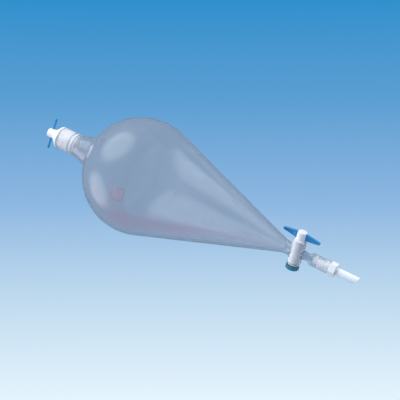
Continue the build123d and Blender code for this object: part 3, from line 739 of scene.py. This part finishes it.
def build_stem_parts():
    hex_bottom = low("stem_bushing", Z)
    bushing_top = high("stem_bushing", Z)
    hex_top = mouth_z - 0.3
    widest = HEX_HALF_FLATS + 2 * HEX_CHAMFER
    chamfer = [i / 8 for i in range(9)]
    outline = [(BUSHING_BORE_RADIUS + 0.4, hex_bottom)]
    outline += [(HEX_HALF_FLATS - 0.4, hex_bottom)]
    outline += [
        (HEX_HALF_FLATS + (widest - HEX_HALF_FLATS) * t, hex_bottom + HEX_CHAMFER * t)
        for t in chamfer
    ]
    outline += [
        (widest - (widest - HEX_HALF_FLATS) * t, hex_top - HEX_CHAMFER * (1 - t))
        for t in chamfer
    ]
    contact_r = SOCKET_THREAD_ROOT + CONTACT
    outline += rounded([
        (HEX_HALF_FLATS - 0.4, hex_top),
        (contact_r - 0.3, hex_top, 0.2),
        (contact_r - 0.3, mouth_z + 0.7, 0.2),
        (contact_r, mouth_z + 1.3, 0.2),
        (contact_r, mouth_z + SOCKET_THREAD_RISE - 1.1, 0.3),
        (CHAMBER_RADIUS - 0.15, mouth_z + SOCKET_THREAD_RISE - 0.1, 0.3),
        (CHAMBER_RADIUS - 0.15, bushing_top, 0.4),
        (BUSHING_BORE_RADIUS, bushing_top, 0.3),
        (BUSHING_BORE_RADIUS, hex_bottom + 0.4),
    ], closed=False)
    outline = densified(outline, mouth_z + 1.3, mouth_z + SOCKET_THREAD_RISE - 1.4, 0.2)

    def bushing_shape(r, h, angle):
        return hexagonal(*socket_screw(r, h, angle), angle)

    bushing = lathe("stem_hex_bushing", outline, bushing_shape, segments=192, hollow=True)
    dress(bushing, nylon, "bushing", "natural_nylon", "stem_bushing")

    low_z, high_z = low("stem_ferrule", Z), high("stem_ferrule", Z)
    ferrule = lathe("stem_turned_ferrule", rounded([
        (FERRULE_BORE_RADIUS, low_z, 0.2), (CHAMBER_RADIUS + CONTACT, low_z, 0.5),
        (CHAMBER_RADIUS + CONTACT, high_z, 0.5), (FERRULE_BORE_RADIUS, high_z, 0.2),
    ]), segments=160, hollow=True)
    dress(ferrule, ptfe, "ferrule_stack", "white_ptfe", "stem_ferrule")

    ring_z = (low("stem_o_ring", Z) + high("stem_o_ring", Z)) / 2
    ring = lathe("stem_seal", torus_outline(STEM_RING_RADIUS, ring_z, STEM_RING_SECTION),
                 segments=96, hollow=True)
    dress(ring, clear_seal, "ferrule_stack", "clear_seal", "stem_o_ring")

    tip_z, top_z = low("stem_tube", Z), high("stem_tube", Z)
    slant_end = tip_z + STEM_SLANT_REACH

    def slanted(r, h, angle):
        if h > slant_end:
            return r, h
        cut = STEM_BEVEL_RISE * (1 - r * cos(angle) / STEM_RADIUS) / 2
        return r, h + cut * (slant_end - h) / (slant_end - tip_z)

    outline = rounded([
        (STEM_BORE_RADIUS, tip_z, 0.2), (STEM_RADIUS, tip_z, 0.25),
        (STEM_RADIUS, top_z, 0.3), (STEM_BORE_RADIUS, top_z, 0.3),
    ])
    outline = densified(outline, tip_z, slant_end + 8, 1.5)
    tube = lathe("stem_drip_tube", outline, slanted, segments=96, hollow=True)
    # The drip tube wears the lighter PTFE copy, whose extra lightness is painted highlight.
    dress(tube, painted_highlight_ptfe, "stem", "white_ptfe", "stem_tube")


# ---------------------------------------------------------------- marking patch
MARK_HALF = 9.2
MARK_CORNER = 2.8
MARK_LINE = 0.9
MARK_BARS = ((-3.4, 5.6), (0.0, 5.6), (3.4, 3.4))   # height, half width
MARK_THICKNESS = 0.03
MARK_DIRECTION = Vector((0.052, -0.988, -0.128))


def on_bulb(x, y, lift):
    """A point of the patch, laid on the bulb's sphere, x across it and y up the funnel."""
    out = MARK_DIRECTION.normalized()
    across = Vector((0, 0, 1)).cross(out).normalized()
    up_bulb = out.cross(across)
    ray = (out * BULB_RADIUS + across * x + up_bulb * y).normalized()
    return ray * (BULB_RADIUS + lift) + Vector((0, 0, bulb_z))


def add_strip(mesh_data, left, right, closed):
    """A thin closed strip on the bulb between two lines of points."""
    rings = [
        [mesh_data.verts.new(on_bulb(*point, lift)) for point, lift in (
            (a, -MARK_THICKNESS / 3), (b, -MARK_THICKNESS / 3), (b, MARK_THICKNESS),
            (a, MARK_THICKNESS),
        )]
        for a, b in zip(left, right)
    ]
    pairs = list(zip(rings, rings[1:])) + ([(rings[-1], rings[0])] if closed else [])
    for first, second in pairs:
        for i in range(4):
            j = (i + 1) % 4
            mesh_data.faces.new((first[i], first[j], second[j], second[i]))
    if not closed:
        mesh_data.faces.new(rings[0])
        mesh_data.faces.new(rings[-1])


def build_mark():
    """A plain rounded frame round three bars, in fired red enamel, with no lettering."""
    mesh_data = bmesh.new()
    corners = [(-1, -1), (1, -1), (1, 1), (-1, 1)]

    def frame_line(half, corner):
        return rounded([(x * half, y * half, corner) for x, y in corners])

    add_strip(mesh_data, frame_line(MARK_HALF, MARK_CORNER),
              frame_line(MARK_HALF - MARK_LINE, MARK_CORNER - MARK_LINE), True)
    for height, half in MARK_BARS:
        steps = [-half + 2 * half * i / 8 for i in range(9)]
        add_strip(mesh_data, [(x, height - MARK_LINE / 2) for x in steps],
                  [(x, height + MARK_LINE / 2) for x in steps], False)
    patch = finish_mesh("bulb_marking_patch", mesh_data)
    patch.data.materials.append(enamel)
    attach(patch, "root")


# ---------------------------------------------------------------- camera
AZIMUTH = radians(29.0)
ELEVATION = radians(-20.5)
ROLL = radians(25.8)            # how far the stem points below the picture's horizontal
DISTANCE = 1.7
PICTURE = 400
PIXELS_PER_METRE = 741          # at the bulb's centre
BULB_AT = (141.4, 176.4)        # where the bulb's centre falls in the picture


def place_camera():
    back = Vector((
        sin(AZIMUTH) * cos(ELEVATION), -cos(AZIMUTH) * cos(ELEVATION), sin(ELEVATION)
    ))
    down = Vector((0, 0, -1))
    along = (down - back * down.dot(back)).normalized()
    right = along * cos(ROLL) + back.cross(along) * sin(ROLL)
    up = back.cross(right)
    focal = PIXELS_PER_METRE * DISTANCE
    shift_right = (BULB_AT[0] - PICTURE / 2) / PIXELS_PER_METRE
    shift_up = (PICTURE / 2 - BULB_AT[1]) / PIXELS_PER_METRE
    bulb = Vector((0, 0, bulb_z * MM))
    place = bulb + back * DISTANCE - right * shift_right - up * shift_up
    data = bpy.data.cameras.new("camera")
    data.sensor_width = 36.0
    data.lens = data.sensor_width * focal / PICTURE
    data.clip_end = 100
    camera = bpy.data.objects.new("camera", data)
    turn = Matrix((right, up, back)).transposed().to_4x4()
    camera.matrix_world = Matrix.Translation(place) @ turn
    bpy.context.scene.collection.objects.link(camera)
    bpy.context.scene.camera = camera
    return right, up, back


STUDIO_COLOUR = (0.215, 0.315, 0.455)
GLOWS = (   # direction in the camera's axes, full and fading angle in degrees, added radiance
    ((-0.60, 0.775, 0.17), 16, 35, (1.35, 1.4, 1.4)),
    ((-0.935, -0.27, -0.13), 8, 28, (1.3, 1.35, 1.35)),
    ((-0.067, -0.088, -1.0), 2.0, 4.2, (0.03, -0.035, -0.045)),
    ((-0.140, -0.075, -1.0), 2.5, 5.5, (0.03, -0.035, -0.045)),
    ((0.12, -0.05, -1.0), 1.0, 6.0, (0.07, 0.075, 0.08)),
    ((-0.010, -0.095, -1.0), 1.5, 3.8, (0.025, -0.03, -0.035)),
)


def build_world(right, up, back):
    """A pale blue gradient behind the object, and a grey-lavender studio with soft glows round it."""
    world = bpy.data.worlds.new("studio")
    bpy.context.scene.world = world
    world.use_nodes = True
    nodes, links = world.node_tree.nodes, world.node_tree.links
    nodes.clear()
    place = nodes.new("ShaderNodeTexCoord")

    def towards(direction, low_at, high_at, low_value, high_value, kind="LINEAR"):
        """A value that changes with the angle from a direction, between two cosines."""
        dot = nodes.new("ShaderNodeVectorMath")
        dot.operation = "DOT_PRODUCT"
        dot.inputs[1].default_value = direction
        spread = nodes.new("ShaderNodeMapRange")
        spread.interpolation_type = kind
        spread.inputs["From Min"].default_value = low_at
        spread.inputs["From Max"].default_value = high_at
        spread.inputs["To Min"].default_value = low_value
        spread.inputs["To Max"].default_value = high_value
        links.new(place.outputs["Generated"], dot.inputs[0])
        links.new(dot.outputs["Value"], spread.inputs["Value"])
        return spread.outputs["Result"]

    ramp = nodes.new("ShaderNodeValToRGB")
    stops = [
        (0.0, (0.78, 0.90, 0.99)), (0.25, (0.52, 0.70, 0.86)), (0.5, (0.26, 0.47, 0.75)),
        (0.75, (0.107, 0.345, 0.651)), (1.0, (0.03, 0.28, 0.61)),
    ]
    ramp.color_ramp.elements[0].color = (*stops[0][1], 1)
    ramp.color_ramp.elements[1].color = (*stops[-1][1], 1)
    for position, colour in stops[1:-1]:
        ramp.color_ramp.elements.new(position).color = (*colour, 1)
    links.new(towards(up, -0.155, 0.155, 0, 1), ramp.inputs["Fac"])
    seen = nodes.new("ShaderNodeBackground")
    links.new(ramp.outputs["Color"], seen.inputs["Color"])

    total = nodes.new("ShaderNodeVectorMath")
    total.operation = "ADD"
    total.inputs[0].default_value = STUDIO_COLOUR
    total.inputs[1].default_value = (0, 0, 0)
    for (x, y, z), inner, outer, radiance in GLOWS:
        direction = (right * x + up * y + back * z).normalized()
        amount = towards(direction, cos(radians(outer)), cos(radians(inner)), 0, 1, "SMOOTHSTEP")
        glow = nodes.new("ShaderNodeVectorMath")
        glow.operation = "MULTIPLY_ADD"
        glow.inputs[1].default_value = radiance
        links.new(amount, glow.inputs[0])
        links.new(total.outputs["Vector"], glow.inputs[2])
        total = glow
    studio = nodes.new("ShaderNodeBackground")
    links.new(total.outputs["Vector"], studio.inputs["Color"])

    path = nodes.new("ShaderNodeLightPath")
    mix = nodes.new("ShaderNodeMixShader")
    output = nodes.new("ShaderNodeOutputWorld")
    links.new(path.outputs["Is Camera Ray"], mix.inputs["Fac"])
    links.new(studio.outputs["Background"], mix.inputs[1])
    links.new(seen.outputs["Background"], mix.inputs[2])
    links.new(mix.outputs["Shader"], output.inputs["Surface"])


def add_softbox(name, direction, distance, width, height, power, colour=(1, 1, 1)):
    """A soft light that shades the opaque parts; the glass mirrors the studio's glows alone."""
    data = bpy.data.lights.new(name, "AREA")
    data.shape = "RECTANGLE"
    data.size, data.size_y = width, height
    data.energy = power
    data.color = colour
    box = bpy.data.objects.new(name, data)
    box.visible_glossy = False
    box.visible_transmission = False
    target = Vector((0, 0, (bulb_z - 60) * MM))
    box.location = target + direction.normalized() * distance
    box.rotation_mode = "QUATERNION"
    box.rotation_quaternion = direction.to_track_quat("Z", "Y")
    bpy.context.scene.collection.objects.link(box)


def light_studio(right, up, back):
    add_softbox("key", right * -0.54 + up * 0.76 + back * 0.35, 1.5, 1.1, 0.9, 16)
    add_softbox("fill", right * -0.96 + up * -0.20 + back * 0.25, 1.5, 0.7, 1.0, 7)
    add_softbox("rim", right * 0.73 + up * 0.68 + back * 0.25, 1.6, 0.8, 0.8, 9)


def build_floor():
    size, depth = 30.0, 2.2
    mesh_data = bmesh.new()
    bmesh.ops.create_grid(mesh_data, x_segments=8, y_segments=8, size=size / MM)
    bmesh.ops.translate(mesh_data, vec=(0, 0, -depth / MM), verts=mesh_data.verts)
    floor = finish_mesh("floor", mesh_data)
    kit = new_material("pale_floor")
    speckle = object_noise(kit, 3.0, 4.0)
    colour_from(kit, speckle, (0.70, 0.75, 0.80), (0.74, 0.78, 0.82))
    roughness_from(kit, speckle, 0.6, 0.8)
    floor.data.materials.append(kit.material)


right, up, back = place_camera()
build_world(right, up, back)
light_studio(right, up, back)
build_floor()
bpy.context.scene.view_settings.view_transform = "Standard"

build_glass()
build_stopper()
build_stopcock()
build_stem_parts()
build_mark()
